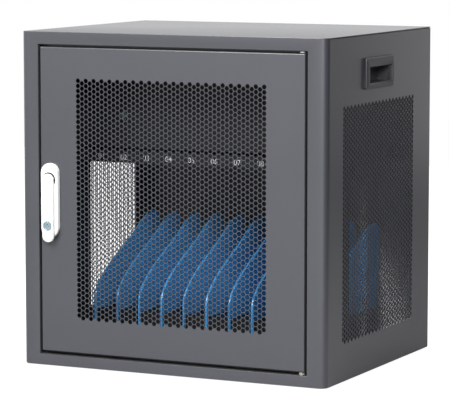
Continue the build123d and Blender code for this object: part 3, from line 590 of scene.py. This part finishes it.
bm = bmesh.new()
corners = [(RECESS_SHADE_BORE, RECESS_SHADE_LOW), (RECESS_SHADE_RADIUS, RECESS_SHADE_LOW), (RECESS_SHADE_RADIUS, RECESS_SHADE_HIGH)]
profile = [bm.verts.new((x, 0, z)) for x, z in corners]
for pair in zip(profile, profile[1:]):
    bm.edges.new(pair)
bmesh.ops.spin(bm, geom=bm.verts[:] + bm.edges[:], cent=(0, 0, 0), axis=(0, 0, 1), angle=2 * pi, steps=48,
               use_merge=True)
bmesh.ops.solidify(bm, geom=bm.faces[:], thickness=RECESS_SHADE_SHEET)
to_recess = panel_matrix((hub_x, door_low[1], HUB_Z), (1, 0, 0), (0, -1, 0))
bmesh.ops.transform(bm, matrix=to_recess, verts=bm.verts[:])
finish_piece(bm, "recess_painted_shade", "rubber", "door")

# %% [markdown]
# The grips have a well rounded bezel, and the small mains parts at the back ordinary
# moulded edges.

# %% Grips and small parts
GRIP_RADIUS_MM = 1.6
SMALL_RADIUS_MM = 0.3
FOOT_RADIUS_MM = 0.4

for side_name in ("left_grip", "right_grip"):
    grip_low, grip_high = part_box(side_name)
    face_x = max(abs(grip_low[0]), abs(grip_high[0]))
    soften(side_name, GRIP_RADIUS_MM, 4, pick=lambda co, face_x=face_x: abs(co.x) > face_x - WELD)
for name in ("power_strip", "outlets", "mains_inlet", "switch_bezel"):
    soften(name, SMALL_RADIUS_MM, 2, least=STEEP)
soften("rocker", SMALL_RADIUS_MM, 2, least=STEEP, body="rocker")
soften("feet", FOOT_RADIUS_MM, 2, least=STEEP)
soften("back_screws", SMALL_RADIUS_MM, 2, least=STEEP)

# %% [markdown]
# The knobs are plain turned screws with a knurled rim: every second line of the rim
# is pushed in a little, and a ring is drawn on the flat front face.

# %% Cover knobs
KNOB_RADIUS = 7.0 * MM
KNOB_LENGTH = 10.0 * MM
KNURL_LINES = 64
KNURL_DEPTH = 0.04
FACE_RIM = 0.8 * MM
SHANK_RADIUS = 2.0 * MM
SHANK_LENGTH = 8.0 * MM

knob_low, knob_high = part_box("cover_knobs")
cover_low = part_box("compartment_cover")[0]
knob_z = (knob_low[2] + knob_high[2]) / 2
bm = bmesh.new()
for x in (knob_low[0] + KNOB_RADIUS, knob_high[0] - KNOB_RADIUS):
    turned = panel_matrix((x, cover_low[1] - KNOB_LENGTH / 2, knob_z), (1, 0, 0), (0, -1, 0))
    made = bmesh.ops.create_cone(bm, cap_ends=True, segments=KNURL_LINES, radius1=KNOB_RADIUS,
                                 radius2=KNOB_RADIUS, depth=KNOB_LENGTH, matrix=turned)["verts"]
    made.sort(key=lambda vert: (round(vert.co.y, 5), atan2(vert.co.z - knob_z, vert.co.x - x)))
    for vert in made[1::2]:
        vert.co.x += (x - vert.co.x) * KNURL_DEPTH
        vert.co.z += (knob_z - vert.co.z) * KNURL_DEPTH
    caps = [face for face in bm.faces
            if len(face.verts) == KNURL_LINES and abs(face.calc_center_median().x - x) < WELD]
    bmesh.ops.inset_individual(bm, faces=caps, thickness=FACE_RIM, depth=0.0)
    shank = panel_matrix((x, cover_low[1] + SHANK_LENGTH / 2, knob_z), (1, 0, 0), (0, -1, 0))
    bmesh.ops.create_cone(bm, cap_ends=True, segments=24, radius1=SHANK_RADIUS, radius2=SHANK_RADIUS,
                          depth=SHANK_LENGTH, matrix=shank)
finish_piece(bm, "knurled_knobs", "bright_nickel", "cabinet", ["cover_knobs"], smooth=False)

# %% [markdown]
# The slots are numbered on the rail above them. The digits are printed in white ink,
# so each number is a flat text turned into a mesh and laid on the rail's face.

# %% Slot numbers
NUMBER_HEIGHT = 8.5 * MM
CAP_SHARE = 0.7
INK_THICKNESS = 0.1 * MM
NUMBER_LIFT = 8.5 * MM

rail_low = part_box("label_rail")[0]
number_z = rail_low[2] + NUMBER_LIFT
divider_x = [sum(corner[0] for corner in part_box(name)) / 2 for name in DIVIDER_NAMES]
for number, (left, right) in enumerate(zip(divider_x, divider_x[1:]), start=1):
    curve = bpy.data.curves.new(f"number_{number:02d}", "FONT")
    curve.body = f"{number:02d}"
    curve.size = NUMBER_HEIGHT / CAP_SHARE
    curve.extrude = INK_THICKNESS / 2
    curve.align_x = "CENTER"
    curve.align_y = "CENTER"
    text = bpy.data.objects.new("text", curve)
    bpy.context.scene.collection.objects.link(text)
    mesh = bpy.data.meshes.new_from_object(text)
    bpy.data.objects.remove(text)
    middle = (left + right) / 2
    mesh.transform(panel_matrix((middle, rail_low[1] - INK_THICKNESS / 2, number_z), (1, 0, 0), (0, -1, 0)))
    mesh.name = f"slot_number_{number:02d}"
    mesh.materials.clear()
    mesh.materials.append(ink)
    piece = bpy.data.objects.new(f"slot_number_{number:02d}", mesh)
    bpy.context.scene.collection.objects.link(piece)
    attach(piece, "cabinet")
print("slot numbers from", round(divider_x[0], 3), "to", round(divider_x[-1], 3))

# %% [markdown]
# The studio begins with a plain floor. It glows for the camera alone, so that it looks
# nearly white and takes a faint shadow, but throws little light up at the cabinet.

# %% Floor
FLOOR_REACH = 3.0
FLOOR_GLOW = 0.86

floor_data = bpy.data.meshes.new("studio_floor")
floor_bm = bmesh.new()
bmesh.ops.create_grid(floor_bm, x_segments=1, y_segments=1, size=FLOOR_REACH)
floor_bm.to_mesh(floor_data)
floor_bm.free()
studio_floor = bpy.data.objects.new("studio_floor", floor_data)
bpy.context.scene.collection.objects.link(studio_floor)

floor_material, floor_tree, floor_surface = new_material("floor_white", **{"Roughness": 0.7})
floor_surface.inputs["Base Color"].default_value = linear("#A0A0A0")
floor_surface.inputs["Emission Color"].default_value = (1, 1, 1, 1)
floor_path = add_node(floor_tree, "ShaderNodeLightPath")
glow = add_node(floor_tree, "ShaderNodeMath", {0: floor_path.outputs["Is Camera Ray"], 1: FLOOR_GLOW},
                operation="MULTIPLY")
floor_tree.links.new(glow.outputs[0], floor_surface.inputs["Emission Strength"])
floor_data.materials.append(floor_material)
print("floor reaches", FLOOR_REACH, "m each way")

# %% [markdown]
# The surround is white for the camera and for gloss, but lights the cabinet less than
# that, so that its dark coat keeps its colour.

# %% World
FILL = 0.2

world = bpy.data.worlds.new("studio_world")
world.use_nodes = True
bpy.context.scene.world = world
world_tree = world.node_tree
world_tree.nodes.clear()
path = add_node(world_tree, "ShaderNodeLightPath")
seen = add_node(world_tree, "ShaderNodeMath", {0: path.outputs["Is Camera Ray"],
                                               1: path.outputs["Is Glossy Ray"]}, operation="MAXIMUM")
seen = add_node(world_tree, "ShaderNodeMath", {0: seen.outputs[0], 1: path.outputs["Is Transmission Ray"]},
                operation="MAXIMUM")
strength = add_node(world_tree, "ShaderNodeMapRange", {"Value": seen.outputs[0], "To Min": FILL,
                                                       "To Max": 1.0})
background = add_node(world_tree, "ShaderNodeBackground", {"Color": (1, 1, 1, 1),
                                                           "Strength": strength.outputs["Result"]})
world_output = add_node(world_tree, "ShaderNodeOutputWorld")
world_tree.links.new(background.outputs["Background"], world_output.inputs["Surface"])
print("world fill", FILL)

# %% [markdown]
# A dark card stands to the right of the cabinet, out of the camera's sight. The gloss of
# the right side and of the rounded corner mirrors it, so they look as dark as they do in
# the photograph.

# %% Dark card
FLAG_X = 1.3
FLAG_FRONT, FLAG_BACK = -0.9, 2.5
FLAG_LOW, FLAG_HIGH = 0.01, 1.7

flag_bm = bmesh.new()
flag_corners = ((FLAG_FRONT, FLAG_LOW), (FLAG_BACK, FLAG_LOW),
                (FLAG_BACK, FLAG_HIGH), (FLAG_FRONT, FLAG_HIGH))
flag_verts = [flag_bm.verts.new((FLAG_X, y, z)) for y, z in flag_corners]
flag_bm.faces.new(flag_verts)
flag_mesh = bpy.data.meshes.new("studio_flag")
flag_bm.to_mesh(flag_mesh)
flag_bm.free()
flag_cloth = new_material("flag_cloth", **{"Roughness": 0.95, "Base Color": linear("#0A0A0A")})[0]
flag_mesh.materials.append(flag_cloth)
studio_flag = bpy.data.objects.new("studio_flag", flag_mesh)
bpy.context.scene.collection.objects.link(studio_flag)
studio_flag.visible_camera = False
print("card at x", FLAG_X)


# %% [markdown]
# Three large square lamps: one at the left and one at the right of the camera, both
# high, so that the front is brighter at its top, and one above the top panel.

# %% Lamps
def soft_lamp(name, place, aim, size, power):
    """A square lamp at a place, turned to a point, with its side in metres and its power in watts."""
    data = bpy.data.lights.new(name, "AREA")
    data.shape = "SQUARE"
    data.size = size
    data.energy = power
    lamp = bpy.data.objects.new(name, data)
    lamp.location = place
    lamp.rotation_euler = (Vector(aim) - Vector(place)).to_track_quat("-Z", "Y").to_euler()
    bpy.context.scene.collection.objects.link(lamp)


soft_lamp("left_lamp", (-0.45, -2.1, 1.9), (0, 0, 0.5), 1.4, 128)
soft_lamp("right_lamp", (1.5, -2.4, 1.5), (0, 0, 0.4), 0.9, 98)
soft_lamp("top_lamp", (0.0, 0.3, 2.4), (0, 0, 0.3), 1.6, 30)
print("lamps:", len(bpy.data.lights))
